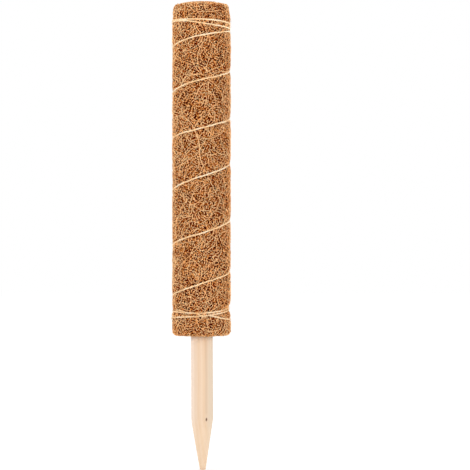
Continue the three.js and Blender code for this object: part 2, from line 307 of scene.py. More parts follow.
# paints the light on the left side and the shade on the right side
for start, full, shade in LIT_AND_SHADED_SIDES.values():
    side = add_node(tree, "MapRange", {"Value": right, "From Min": start * MM, "From Max": full * MM})
    wood = add_node(
        tree, "Mix", {0: side.outputs[0], 6: wood, 7: linear(shade)}, data_type="RGBA"
    ).outputs[2]
print("ring spacing", RING_WIDTH, "mm, grain", GRAIN_WIDTH, "mm")

# %% Softwood: late-wood line, pin knot and surface
LINE_X = 4.2
LINE_WANDER = 0.5
LINE_HALF_WIDTH = 1.8
LINE_STRENGTH = 0.55
LINE_FADE = 6.0
FRONT_FROM = -4.0
FRONT_FULL = -6.0
PIN_KNOT = (4.2, -8.2, -71.7)
KNOT_HALF_WIDTH = 1.05
KNOT_CORE = 0.5
KNOT_STRETCH = 0.5
# painted light: below the shoulder the point is painted paler, as its taper faces down and gets less light
POINT_LIGHT_FROM = -70.0
POINT_LIGHT_FULL = -82.0
POINT_LIGHT_SHARE = 0.35

middle = add_node(
    tree, "MapRange",
    {"Value": grain, "To Min": (LINE_X - LINE_WANDER) * MM, "To Max": (LINE_X + LINE_WANDER) * MM},
)
off_line = add_node(tree, "Math", {0: right, 1: middle.outputs[0]}, operation="SUBTRACT")
off_line = add_node(tree, "Math", {0: off_line.outputs[0]}, operation="ABSOLUTE")
line = add_node(
    tree, "MapRange",
    {"Value": off_line.outputs[0], "From Max": LINE_HALF_WIDTH * MM, "To Min": LINE_STRENGTH, "To Max": 0.0},
    interpolation_type="SMOOTHSTEP",
)
line_limits = [
    {"Value": back, "From Min": FRONT_FROM * MM, "From Max": FRONT_FULL * MM},
    {"Value": up, "From Min": PIN_KNOT[2] * MM, "From Max": (PIN_KNOT[2] + LINE_FADE) * MM},
]
for limits in line_limits:
    within = add_node(tree, "MapRange", limits)
    line = add_node(tree, "Math", {0: line.outputs[0], 1: within.outputs[0]}, operation="MULTIPLY")
to_knot = add_node(tree, "VectorMath", {0: place, 1: [x * MM for x in PIN_KNOT]}, operation="SUBTRACT")
to_knot = add_node(
    tree, "VectorMath", {0: to_knot.outputs[0], 1: (1, 1, KNOT_STRETCH)}, operation="MULTIPLY"
)
spot = add_node(tree, "VectorMath", {0: to_knot.outputs[0]}, operation="LENGTH").outputs["Value"]
knot = add_node(
    tree, "MapRange",
    {"Value": spot, "From Min": KNOT_CORE * KNOT_HALF_WIDTH * MM, "From Max": KNOT_HALF_WIDTH * MM,
     "To Min": 1.0, "To Max": 0.0},
)
# painted light on the point
fresh = add_node(
    tree, "MapRange",
    {"Value": up, "From Min": POINT_LIGHT_FROM * MM, "From Max": POINT_LIGHT_FULL * MM, "To Max": POINT_LIGHT_SHARE},
)
# mixes in the late-wood line, the pin knot and the painted light on the point
for share, shade in ((line, "#CFB294"), (knot, "#5E3A20"), (fresh, "#F2D5B4")):
    wood = add_node(
        tree, "Mix", {0: share.outputs[0], 6: wood, 7: linear(shade)}, data_type="RGBA"
    ).outputs[2]
matt_surface(tree, wood, grain, rough=(0.55, 0.75), bump=0.2, depth=0.15, shine=0.3)
print("pin knot at", PIN_KNOT)

# %% [markdown]
# The stake
#
# A dowel is a turned shape: one outline, spun round the axis. The outline is drawn as a chain of points up
# the right-hand side, from the blunt tip to the sawn top. Its long edges are cut into short ones, so that
# the spun surface can carry the small unevenness of a planed stick. The point was not turned quite true:
# its tip leans a little to the right, and it is fuller on the left.

# %% Stake
STAKE_TIP = -115.5
POINT_LENGTH = 44.5
STAKE_SHOULDER = STAKE_TIP + POINT_LENGTH
STAKE_TOP = 280.5
TIP_RADIUS = 2.3
TIP_CHAMFER = 0.6
TOP_CHAMFER = 0.8
SHOULDER_BLEND = 0.8
SHOULDER_EASE = 0.12
CUTS = {2: 11, 3: 1, 4: 59}  # cuts in the outline's edges along the point, the shoulder and the shank
STAKE_STEPS = 64
STAKE_SHIFT = 0.2
STAKE_LEAN = 0.006
TIP_LEAN = 0.4
LEFT_FULLNESS = 0.45
FULLNESS_RAMP = 8
UNEVENNESS = 0.008
WAVES_ACROSS = 60
WAVES_ALONG = 14
SAME_PLACE = 0.001 * MM

outline = [
    (0, STAKE_TIP),
    (TIP_RADIUS - TIP_CHAMFER, STAKE_TIP),
    (TIP_RADIUS, STAKE_TIP + TIP_CHAMFER),
    (STAKE_RADIUS - SHOULDER_EASE, STAKE_SHOULDER - SHOULDER_BLEND),
    (STAKE_RADIUS, STAKE_SHOULDER + SHOULDER_BLEND),
    (STAKE_RADIUS, STAKE_TOP - TOP_CHAMFER),
    (STAKE_RADIUS - TOP_CHAMFER, STAKE_TOP),
    (0, STAKE_TOP),
]
bm = bmesh.new()
corners = [bm.verts.new((x * MM, 0, z * MM)) for x, z in outline]
chain = [bm.edges.new(pair) for pair in zip(corners, corners[1:])]
for edge, cuts in CUTS.items():
    bmesh.ops.subdivide_edges(bm, edges=[chain[edge]], cuts=cuts)
bmesh.ops.spin(
    bm, geom=bm.verts[:] + bm.edges[:], cent=(0, 0, 0), axis=(0, 0, 1),
    angle=2 * math.pi, steps=STAKE_STEPS, use_merge=True,
)
bmesh.ops.remove_doubles(bm, verts=bm.verts, dist=SAME_PLACE)
bmesh.ops.recalc_face_normals(bm, faces=bm.faces)
for vert in bm.verts:
    x, y, z = vert.co
    wave = noise.noise(Vector((x * WAVES_ACROSS, y * WAVES_ACROSS, z * WAVES_ALONG)))
    vert.co.xy *= 1 + UNEVENNESS * wave
    into_point = max(0.0, (STAKE_SHOULDER - vert.co.z / MM) / POINT_LENGTH)
    to_left = max(0.0, -vert.co.x) / max(vert.co.xy.length, SAME_PLACE)
    fuller = LEFT_FULLNESS * to_left * min(1.0, into_point * FULLNESS_RAMP)
    below_coir = max(0.0, -vert.co.z / MM)
    vert.co.x += (STAKE_SHIFT + STAKE_LEAN * below_coir + TIP_LEAN * into_point - fuller) * MM
stake_mesh = bpy.data.meshes.new("stake")
bm.to_mesh(stake_mesh)
bm.free()
place_piece("stake_wood", stake_mesh, softwood, ["stake"])

# %% [markdown]
# Where the twine runs
#
# The twine is tied at the foot, goes two and a half times round it, climbs in nearly six open turns and ends
# in a loose binding below the top. The photograph shows its height all the way across the front, and a
# smooth line runs through heights read there and on round the back. A little sway in the open turns is the
# hand that wound them. Turns are counted from the front and grow to the right. Each pair below is a place in
# turns and a height.

# %% Route of the twine
FOOT_ROUTE = [
    (0.04, 17.8), (0.08, 16.4), (0.125, 15.0), (0.25, 13.8), (0.5, 14.2), (0.75, 14.8), (0.875, 15.9),
    (1.0, 16.9), (1.25, 21.6), (1.5, 21.6), (1.75, 20.4), (1.875, 19.8), (2.0, 19.4), (2.25, 24.0),
    (2.5, 28.6),
]
OPEN_ROUTE = [
    (2.75, 33.5), (2.85, 37.4), (3.0, 44.4), (3.15, 51.1), (3.25, 55.2),
    (3.75, 76.9), (3.85, 80.7), (4.0, 87.3), (4.15, 94.5), (4.25, 98.6),
    (4.75, 123.4), (4.85, 128.1), (5.0, 135.2), (5.15, 142.8), (5.25, 147.1),
    (5.75, 167.3), (5.85, 171.2), (6.0, 176.3), (6.15, 182.1), (6.25, 185.8),
    (6.75, 207.0), (6.85, 211.0), (7.0, 217.6), (7.15, 222.5), (7.25, 226.1),
    (7.75, 245.6), (7.85, 249.6), (8.0, 255.0), (8.15, 258.8),
]
HEAD_ROUTE = [
    (8.25, 260.3), (8.5, 263.5), (8.75, 267.8), (8.94, 267.0), (9.02, 265.0), (9.12, 263.4), (9.25, 262.4),
    (9.5, 266.2), (9.75, 269.3), (9.88, 268.9), (10.0, 268.6), (10.12, 267.7), (10.25, 266.5),
    (10.5, 268.2),
]
OPENS = (2.5, 3.0)
CLOSES = (7.8, 8.2)
SWAY = 0.18
SLOW_WAVES = 23
FAST_WAVES = 61
FAST_SHARE = 0.6

route = np.array(FOOT_ROUTE + OPEN_ROUTE + HEAD_ROUTE)
route_slopes = np.gradient(route[:, 1], route[:, 0])
TWINE_START, TWINE_END = route[0, 0], route[-1, 0]


def ease(value, low, high):
    """0 below low, 1 above high and a smooth ramp between."""
    share = np.clip((np.asarray(value, float) - low) / (high - low), 0, 1)
    return share * share * (3 - 2 * share)


def route_height(turns):
    """Height of the twine after this many turns."""
    turns = np.clip(turns, TWINE_START, TWINE_END)
    k = np.clip(np.searchsorted(route[:, 0], turns, side="right") - 1, 0, len(route) - 2)
    span = route[k + 1, 0] - route[k, 0]
    t = (turns - route[k, 0]) / span
    low, rise = route[k, 1], route[k + 1, 1] - route[k, 1]
    leave, arrive = route_slopes[k] * span, route_slopes[k + 1] * span
    height = (leave + arrive - 2 * rise) * t**3 + (3 * rise - 2 * leave - arrive) * t**2 + leave * t + low
    is_open = ease(turns, *OPENS) - ease(turns, *CLOSES)
    return height + SWAY * is_open * (np.sin(turns * SLOW_WAVES) + FAST_SHARE * np.sin(turns * FAST_WAVES))


fronts = route_height(np.arange(1, 11))
print("turns:", TWINE_END, "heights at the front:", [round(float(h), 1) for h in fronts])

# %% [markdown]
# The outside of the roll
#
# The tight twine draws the soft mat in, most of all at the foot, and below that binding the loose fibres
# spread a little. One function gives the radius of the coir anywhere, and everything that lies on the
# coir asks it: the mat, its fibres, the twine and the knots.

# %% Radius of the coir
COIR_HEIGHT = 284.5
COIR_RADIUS = 24.45
FIRST_BITE = 0.3
FOOT_BITE = 1.7
OPEN_BITE = 0.9
HEAD_BITE = 0.5
BITE_REACH = 7.0
NOTCH = 0.5
NOTCH_REACH = 2.2
FOOT_FLARE = 0.3
FLARE_HEIGHT = 14.2
HEAD_TAPER = 1.4
HEAD_SHOULDER = 18.0
HEAD_RIM = 4.0
BULGE = 0.9
BULGE_TURN = 0.75
BULGE_TURNS = 0.08
BULGE_HEIGHT = 16.0
BULGE_REACH = 5.0
LAP_TURN = 16 / 24
LAP_EASE = 4 / 24
BITE_STAGES = [
    # the turns between which the bite changes, and by how much
    (0.8, 1.2, FOOT_BITE - FIRST_BITE),
    (2.0, 3.0, OPEN_BITE - FOOT_BITE),
    (7.75, 8.75, HEAD_BITE - OPEN_BITE),
]


def route_bite(turns):
    """How deep the twine draws the coir in along its route."""
    return FIRST_BITE + sum(change * ease(turns, start, end) for start, end, change in BITE_STAGES)


def lap_distance(turn):
    """Turns from the outer edge of the mat, which lies at the back."""
    return np.abs(np.mod(np.asarray(turn, float) - LAP_TURN + 0.5, 1) - 0.5)


def coir_radius(turn, height):
    """Radius of the coir's outside at a place round the pole and a height."""
    turn = np.mod(np.asarray(turn, float), 1)
    height = np.asarray(height, float)
    dent = np.zeros(np.broadcast(turn, height).shape)
    for lap in range(math.ceil(TWINE_END)):
        turns = turn + lap
        away = np.abs(height - route_height(turns))
        bite = route_bite(turns) * np.clip(1 - away / BITE_REACH, 0, None) ** 2
        notch = NOTCH * np.clip(1 - away / NOTCH_REACH, 0, None)
        passes = (turns >= TWINE_START) & (turns <= TWINE_END)
        dent = np.maximum(dent, np.where(passes, bite + notch, 0))
    flare = FOOT_FLARE * (1 - ease(height, 0, FLARE_HEIGHT))
    taper = HEAD_TAPER * ease(height, COIR_HEIGHT - HEAD_SHOULDER, COIR_HEIGHT - HEAD_RIM)
    beside = ((turn - BULGE_TURN) / BULGE_TURNS) ** 2
    bulge = BULGE * np.exp(-beside - ((height - BULGE_HEIGHT) / BULGE_REACH) ** 2)
    share = np.minimum(1, lap_distance(turn) / LAP_EASE)
    return COIR_RADIUS + share * (flare + bulge - dent - taper)


def around(radius, turn, height):
    """Points at these radii, places round the pole and heights."""
    angle = np.asarray(turn, float) * 2 * math.pi
    return np.stack([radius * np.sin(angle), -radius * np.cos(angle), height], axis=-1)


def on_coir(turns, heights, lift):
    """Points this far outside the coir at places round the pole and heights."""
    return around(coir_radius(turns, heights) + lift, turns, heights)


print("radius at the front, half way up:", round(float(coir_radius(0, COIR_HEIGHT / 2)), 2))

# %% [markdown]
# Coconut fibre
#
# Coir is the husk of the coconut, combed, needled into a mat and sprayed with latex. Each fibre is a stiff
# orange-brown hair with a faint waxy shine, from dark umber to pale straw. The mesh of a fibre carries one
# number, its tone, and a colour ramp turns that into a colour. A slow noise makes whole patches darker or
# paler, as a mat has them, and a fast one varies each fibre along its length.

# %% Coir materials
PATCH_SIZE = 16.0
PATCH_SHIFT = 0.085
FLECK_SIZE = 2.5
FLECK_SHIFT = 0.1
CLUMP_SIZE = 1.5
NOISE_LOW = 0.3
NOISE_HIGH = 0.7

coir, tree = new_material("coconut_fibre")
place = add_node(tree, "TexCoord").outputs["Object"]
tone = add_node(tree, "Attribute", attribute_name="tone").outputs["Fac"]
patch = add_node(tree, "TexNoise", {"Vector": place, "Scale": 1 / (PATCH_SIZE * MM), "Detail": 1.0})
fleck = add_node(tree, "TexNoise", {"Vector": place, "Scale": 1 / (FLECK_SIZE * MM), "Detail": 2.0})
for pattern, shift in ((patch, PATCH_SHIFT), (fleck, FLECK_SHIFT)):
    span = {"From Min": NOISE_LOW, "From Max": NOISE_HIGH, "To Min": -shift, "To Max": shift}
    moved = add_node(tree, "MapRange", {"Value": pattern.outputs["Fac"], **span})
    tone = add_node(tree, "Math", {0: tone, 1: moved.outputs[0]}, operation="ADD").outputs[0]
colour = add_node(
    tree, "ValToRGB", {0: tone},
    stops=[(0.0, "#641000"), (0.25, "#B04600"), (0.5, "#E28E40"), (0.75, "#FAB068"), (0.9, "#FFC488"),
           (1.0, "#FFD098")],
).outputs[0]
matt_surface(tree, colour, fleck.outputs["Fac"], rough=(0.55, 0.8), bump=0.4, depth=0.1, shine=0.02)

# painted shade: the felt under the fibres is painted a near-black brown, as shade in the holes between
# fibres
felt, tree = new_material("coir_felt_core")
place = add_node(tree, "TexCoord").outputs["Object"]
clump = add_node(
    tree, "TexNoise", {"Vector": place, "Scale": 1 / (CLUMP_SIZE * MM), "Detail": 4.0, "Distortion": 1.5}
).outputs["Fac"]
felt_painted_shade_stops = [(0.35, "#2C0600"), (0.5, "#501400"), (0.7, "#702600")]
colour = add_node(tree, "ValToRGB", {0: clump}, stops=felt_painted_shade_stops).outputs[0]
matt_surface(tree, colour, clump, rough=(0.8, 1.0), bump=0.8, depth=0.5, shine=0.02)
print("patches of", PATCH_SIZE, "mm, flecks of", FLECK_SIZE, "mm")

# %% [markdown]
# The rolled mat
#
# Under the loose fibres the mat is a dense felt, one sheet of three turns whose long edges are thinned out
# so that the roll stays round. It is made as it is rolled: one upright edge at the stake is extruded a step
# further round and further out, again and again. The Solidify modifier then gives the sheet its thickness,
# and a vertex group thins it towards both edges. Last, the outside is drawn in under the twine and the two
# ends are rounded.

# %% Rolled mat
MAT_TURNS = 3
MAT_THICKNESS = 4.7
LAYER_GAP = 0.35
LAYER_PITCH = MAT_THICKNESS + LAYER_GAP
BORE_RADIUS = 9.65
LAP_START = 0.5
ROLL_STEPS = 48
RAMP_STEPS = 10
THIN_EDGE = 0.12
MAT_ROWS = 114


def layers_at(step):
    """Layers laid down at a step of the roll: a ramp wherever a turn climbs over the one before."""
    turn = step // ROLL_STEPS
    return min(MAT_TURNS, turn + min(1, (step - turn * ROLL_STEPS) / RAMP_STEPS))


roll = []
for step in range(1, MAT_TURNS * ROLL_STEPS + RAMP_STEPS):
    inner = BORE_RADIUS + (layers_at(step - ROLL_STEPS) * LAYER_PITCH if step >= ROLL_STEPS else 0)
    outer = BORE_RADIUS + layers_at(step) * LAYER_PITCH - LAYER_GAP
    roll.append((LAP_START + step / ROLL_STEPS, (inner + outer) / 2, max(THIN_EDGE, outer - inner)))

bm = bmesh.new()
start_turn, start_radius, start_thickness = roll[0]
first = bm.verts.new((0, -start_radius * MM, 0))
column = [first]
for row in range(MAT_ROWS):
    made = bmesh.ops.extrude_vert_indiv(bm, verts=[column[-1]])
    bmesh.ops.translate(bm, verts=made["verts"], vec=(0, 0, COIR_HEIGHT / MAT_ROWS * MM))
    column += made["verts"]
to_start = Matrix.Rotation(start_turn * 2 * math.pi, 3, "Z")
bmesh.ops.rotate(bm, verts=bm.verts, cent=(0, 0, 0), matrix=to_start)
edges = bm.edges[:]
weights = [start_thickness] * len(column)
for (turn, radius, _), (next_turn, next_radius, next_thickness) in zip(roll, roll[1:]):
    made = bmesh.ops.extrude_edge_only(bm, edges=edges)["geom"]
    fresh = [g for g in made if isinstance(g, bmesh.types.BMVert)]
    edges = [g for g in made if isinstance(g, bmesh.types.BMEdge) and all(v in fresh for v in g.verts)]
    onward = Matrix.Rotation((next_turn - turn) * 2 * math.pi, 3, "Z")
    bmesh.ops.rotate(bm, verts=fresh, cent=(0, 0, 0), matrix=onward)
    bmesh.ops.scale(bm, verts=fresh, vec=(next_radius / radius, next_radius / radius, 1))
    weights += [next_thickness] * len(fresh)
sheet = bpy.data.meshes.new("mat_sheet")
bm.to_mesh(sheet)
bm.free()
print("rolled sheet:", len(roll), "columns of", len(column), "points")

# %% Thickness and form of the mat
FIBRE_COVER = 1.5
TOP_ROUND = 3.0
FOOT_ROUND = 4.0
DOME_DROP = 2.1
DOME_START = 10.0
SKIN_EDGE = 0.5


def dome_drop(radius):
    """How far the top of the roll has sunk at a radius: its outer layers were pulled down a little."""
    return DOME_DROP * ease(radius, DOME_START, COIR_RADIUS)


rolled = bpy.data.objects.new("mat_sheet", sheet)
scene.collection.objects.link(rolled)
group = rolled.vertex_groups.new(name="thickness")
for index, weight in enumerate(weights):
    group.add([index], weight / MAT_THICKNESS, "REPLACE")
thick = rolled.modifiers.new("thickness", "SOLIDIFY")
thick.thickness = MAT_THICKNESS * MM
thick.offset = 0.0
thick.vertex_group = "thickness"
mat_mesh = bpy.data.meshes.new_from_object(rolled.evaluated_get(bpy.context.evaluated_depsgraph_get()))
bpy.data.objects.remove(rolled)

co = np.zeros(len(mat_mesh.vertices) * 3)
mat_mesh.vertices.foreach_get("co", co)
co = co.reshape(-1, 3) / MM
radius = np.hypot(co[:, 0], co[:, 1])
turn = np.arctan2(co[:, 0], -co[:, 1]) / (2 * math.pi)
outer_share = ease(radius, COIR_RADIUS - MAT_THICKNESS + SKIN_EDGE, COIR_RADIUS - SKIN_EDGE)
new_radius = radius + outer_share * (coir_radius(turn, co[:, 2]) - COIR_RADIUS - FIBRE_COVER)
core_radius = COIR_RADIUS - FIBRE_COVER
into_top = np.clip(new_radius - (core_radius - TOP_ROUND), 0, TOP_ROUND)
into_foot = np.clip(new_radius - (core_radius - FOOT_ROUND), 0, FOOT_ROUND)
top = COIR_HEIGHT - FIBRE_COVER - dome_drop(new_radius) - (TOP_ROUND - np.sqrt(TOP_ROUND**2 - into_top**2))
foot = FIBRE_COVER + FOOT_ROUND - np.sqrt(FOOT_ROUND**2 - into_foot**2)
co[:, 2] = foot + (top - foot) * co[:, 2] / COIR_HEIGHT
co[:, :2] *= (new_radius / radius)[:, None]
mat_mesh.vertices.foreach_set("co", (co * MM).ravel())
bm = bmesh.new()
bm.from_mesh(mat_mesh)
bmesh.ops.recalc_face_normals(bm, faces=bm.faces)
bm.to_mesh(mat_mesh)
bm.free()
place_piece("coir_felt", mat_mesh, felt, ["coir_mat"])

# %% [markdown]
# A fibre's way over the roll
#
# Fibres lie on the whole outside of the roll: over the wall, round both rims and across the two cut ends.
# One line, the meridian, runs from the bore under the foot, up the wall and in over the top to the bore
# again. A place on the roll is then a distance along the meridian and a turn round the pole, and a fibre is
# a short curved walk from such a place, dipping into the felt at both its ends.

# %% The meridian
BORE_EDGE = 0.6
FACE_INNER = BORE_RADIUS + BORE_EDGE
SEAM_WIDTH = 0.7
SPIRAL_DEPTH = 1.6
LAP_DEPTH = 0.8
DOME_REACH = 25.0

foot_face = COIR_RADIUS - FOOT_ROUND - FACE_INNER
foot_arc = FOOT_ROUND * math.pi / 2
wall = COIR_HEIGHT - FOOT_ROUND - TOP_ROUND
top_arc = TOP_ROUND * math.pi / 2
top_face = COIR_RADIUS - TOP_ROUND - FACE_INNER
STATIONS = np.cumsum([0, foot_face, foot_arc, wall, top_arc, top_face])


def on_meridian(along):
    """Radius, height, and the outward direction's radial and upright shares, along the meridian."""
    a = np.clip(along, 0, STATIONS[-1])
    low = np.clip((a - STATIONS[1]) / foot_arc, 0, 1) * math.pi / 2
    high = np.clip((a - STATIONS[3]) / top_arc, 0, 1) * math.pi / 2
    radius = FACE_INNER + np.minimum(a, foot_face) + FOOT_ROUND * np.sin(low)
    radius = radius - TOP_ROUND * (1 - np.cos(high)) - np.clip(a - STATIONS[4], 0, None)
    height = FOOT_ROUND * (1 - np.cos(low)) + np.clip(a - STATIONS[2], 0, wall) + TOP_ROUND * np.sin(high)
    height = height - dome_drop(radius) * ease(a, STATIONS[3] - DOME_REACH, STATIONS[3])
    return radius, height, np.sin(low) * np.cos(high), np.sin(high) - np.cos(low)


def seam_depth(turn, radius, upright):
    """How far fibres sink where the layers of the roll meet: a spiral on the ends, a line down the back."""
    past = np.mod(turn - LAP_START, 1)
    ramp = np.minimum(1, past / (RAMP_STEPS / ROLL_STEPS))
    gaps = [BORE_RADIUS + (layer + ramp) * LAYER_PITCH - LAYER_GAP / 2 for layer in (0, 1)]
    spiral = sum(np.exp(-(((radius - gap) / SEAM_WIDTH) ** 2)) for gap in gaps)
    lap = np.exp(-((lap_distance(turn) * 2 * math.pi * COIR_RADIUS / SEAM_WIDTH) ** 2))
    return SPIRAL_DEPTH * spiral * np.abs(upright) + LAP_DEPTH * lap * (1 - np.abs(upright))


print("meridian stations in mm:", np.round(STATIONS, 1))

# %% Lay fibres on the roll
LENGTH_SPREAD = 0.35
GOLDEN_SHARE = 0.618034
EVEN_JITTER = 0.004
SWIRLS = 6
SWIRL_SIZE = 45.0
SWIRL_TURN = 0.9
SWIRL_LOBES = 3
CELL = 0.8
GAP_PULL = 1.0
AREA_STEPS = 2001

area_places = np.linspace(0, STATIONS[-1], AREA_STEPS)
area_shares = np.cumsum(on_meridian(area_places)[0])
area_shares /= area_shares[-1]
cover = np.zeros((math.ceil(STATIONS[-1] / CELL), round(2 * math.pi * COIR_RADIUS / CELL)))


def even_places(rng, count):
    """Places spread evenly over the roll, as distances along the meridian and turns."""
    order = np.arange(count)
    along = np.interp((order + rng.random(count)) / count, area_shares, area_places)
    return along, order * GOLDEN_SHARE + rng.normal(0, EVEN_JITTER, count)


def thin_places(rng, count):
    """Places where the fibres laid so far leave the widest gaps."""
    near = sum(np.roll(cover, step, axis=0) for step in (-1, 0, 1))
    near = sum(np.roll(near, step, axis=1) for step in (-1, 0, 1))
    weight = np.exp(-GAP_PULL * near).ravel()
    cells = rng.choice(cover.size, count, replace=False, p=weight / weight.sum())
    row, column = np.divmod(cells, cover.shape[1])
    along = np.minimum((row + rng.random(count)) * CELL, STATIONS[-1])
    return along, (column + rng.random(count)) / cover.shape[1]


def note_cover(along, turn):
    """Counts the cells that fibres pass over, from four places on each of their stretches."""
    for share in (0.0, 0.25, 0.5, 0.75):
        rows = along[:, :-1] * (1 - share) + along[:, 1:] * share
        columns = turn[:, :-1] * (1 - share) + turn[:, 1:] * share
        rows = np.clip(rows / CELL, 0, cover.shape[0] - 1).astype(int)
        np.add.at(cover, (rows, np.floor(np.mod(columns, 1) * cover.shape[1]).astype(int)), 1)


def swirl_field(rng):
    """A function that gives the direction in which the fibres were combed at any place on the roll."""
    across = rng.uniform(-1, 1, SWIRLS) * 2 * math.pi / SWIRL_SIZE
    lobes = rng.integers(-SWIRL_LOBES, SWIRL_LOBES + 1, SWIRLS) * 2 * math.pi
    start = rng.uniform(0, 2 * math.pi, SWIRLS)

    def direction(along, turn):
        waves = np.sin(along[..., None] * across + turn[..., None] * lobes + start)
        return SWIRL_TURN * waves.sum(axis=-1)

    return direction


def walk_fibres(rng, places, points, length, curl, wiggle, stray, depth, arch):
    """Points of fibres that start from these places: an array of fibre, point and coordinate."""
    combed = swirl_field(rng)
    along0, turn0 = [np.asarray(values)[:, None] for values in places]
    count = len(along0)
    reach = rng.lognormal(math.log(length), LENGTH_SPREAD, count)[:, None]
    t = np.linspace(-0.5, 0.5, points)[None, :]
    heading = combed(along0, turn0) + rng.normal(0, stray, count)[:, None]
    heading = heading + rng.normal(0, curl, count)[:, None] * t * reach
    heading = heading + rng.normal(0, wiggle, (count, points))
    stride = reach / (points - 1)
    ahead = np.cumsum(np.cos(heading) * stride, axis=1)
    aside = np.cumsum(np.sin(heading) * stride, axis=1)
    ahead = along0 + ahead - ahead.mean(axis=1, keepdims=True)
    aside = aside - aside.mean(axis=1, keepdims=True)
    along = STATIONS[-1] - np.abs(STATIONS[-1] - np.abs(ahead))
    radius, height, outward, upright = on_meridian(along)
    turn = turn0 + aside / (2 * math.pi * radius)
    note_cover(along, turn)
    lie = rng.uniform(*depth, count)[:, None] + arch * (1 - (2 * t) ** 2)
    lie = lie - seam_depth(turn, radius, upright)
    give = (coir_radius(turn, height) - COIR_RADIUS) * np.clip(outward, 0, 1)
    radius = radius + give + lie * outward
    return around(radius, turn, height + lie * upright)


print("cells to cover with fibres:", cover.size)

# %% [markdown]
# Hairs as meshes
#
# Blender's own hair is light and quick to comb, but it is lost when the pole leaves Blender as plain meshes.
# So each hair is a curve with a small section swept along it. The curve becomes a mesh, its ends are merged
# into points so that it is closed, and each stretch gets its own cell of a map named OFBake.

# %% Hairs as meshes
CELL_MARGIN = 0.06
CELL_SHAPE = 4
SAME_HAIR_PLACE = 0.0001 * MM


def bake_cells(mesh, splines, cuts, columns):
    """Gives every stretch of every spline its own cell of the map named OFBake."""
    layer = mesh.uv_layers[0]
    layer.name = "OFBake"
    uv = np.zeros(len(mesh.loops) * 2)
    layer.data.foreach_get("uv", uv)
    uv = uv.reshape(-1, 4, 2)
    owner = np.repeat(np.arange(splines), len(uv) // splines)
    stretch = np.minimum(np.floor(uv[:, :, 0].mean(axis=1) * cuts), cuts - 1)
    cell = (owner * cuts + stretch)[:, None]
    rows = math.ceil(splines * cuts / columns)
    used = 1 - 2 * CELL_MARGIN
    uv[:, :, 0] = (cell % columns + CELL_MARGIN + used * (uv[:, :, 0] * cuts - stretch[:, None])) / columns
    uv[:, :, 1] = (cell // columns + CELL_MARGIN + used * uv[:, :, 1]) / rows
    layer.data.foreach_set("uv", uv.ravel())


def hair_mesh(name, paths, widths, tones, section, cuts=1, columns=None):
    """A mesh of bevelled hairs along the paths, pointed at both ends, each with its own width and tone."""
    count, points = paths.shape[:2]
    curve = bpy.data.curves.new(name, "CURVE")
    curve.dimensions = "3D"
    curve.bevel_mode = "OBJECT"
    curve.bevel_object = section
    taper = np.ones(points)
    taper[[0, -1]] = 0
    for path, width in zip(paths, widths):
        spline = curve.splines.new("POLY")
        spline.points.add(points - 1)
        spline.points.foreach_set("co", np.c_[path * MM, np.ones(points)].ravel())
        spline.points.foreach_set("radius", taper * width / 2)
    drawn = bpy.data.objects.new(name, curve)
    scene.collection.objects.link(drawn)
    mesh = bpy.data.meshes.new_from_object(drawn.evaluated_get(bpy.context.evaluated_depsgraph_get()))
    bpy.data.objects.remove(drawn)
    bpy.data.curves.remove(curve)
    mesh.name = name
    mesh.materials.clear()
    bake_cells(mesh, count, cuts, columns or max(1, round(math.sqrt(count / CELL_SHAPE))))
    tone = mesh.attributes.new("tone", "FLOAT", "POINT")
    tone.data.foreach_set("value", np.repeat(tones, len(mesh.vertices) // count).astype(np.float32))
    bm = bmesh.new()
    bm.from_mesh(mesh)
    bmesh.ops.remove_doubles(bm, verts=bm.verts, dist=SAME_HAIR_PLACE)
    bmesh.ops.recalc_face_normals(bm, faces=bm.faces)
    bm.to_mesh(mesh)
    bm.free()
    return mesh


def ring_section(name, sides):
    """A small closed outline of a unit radius in millimetres, to sweep along a curve."""
    outline = bpy.data.curves.new(name, "CURVE")
    outline.dimensions = "2D"
    spline = outline.splines.new("POLY")
    spline.points.add(sides - 1)
    for k, point in enumerate(spline.points):
        angle = 2 * math.pi * k / sides
        point.co = (math.cos(angle) * MM, math.sin(angle) * MM, 0, 1)
    spline.use_cyclic_u = True
    ring = bpy.data.objects.new(name, outline)
    scene.collection.objects.link(ring)
    return ring


three_sides = ring_section("three_sides", 3)
six_sides = ring_section("six_sides", 6)
print("sections to sweep:", three_sides.name, six_sides.name)

# %% [markdown]
# Coats of fibres
#
# The pale golden fibres that catch the light are laid first: one coat spread evenly, then one in the gaps it
# leaves. A third coat, thinner and browner, goes where the roll is still bare. The gap coats are laid in
# rounds, so that each round sees what the last one covered. Below them lie the brown body of the mat and two
# coats of fibres that only show in the holes, painted dark as shade in the holes. Then come dark crumbs,
# painted shade that stands for the shadowed gaps between fibres, hundreds of long stray fibres, and one
# longer still that the photograph shows. A real fibre is a quarter of a millimetre thick. Here most are
# drawn two to three times as thick, so that single ones show in the render.

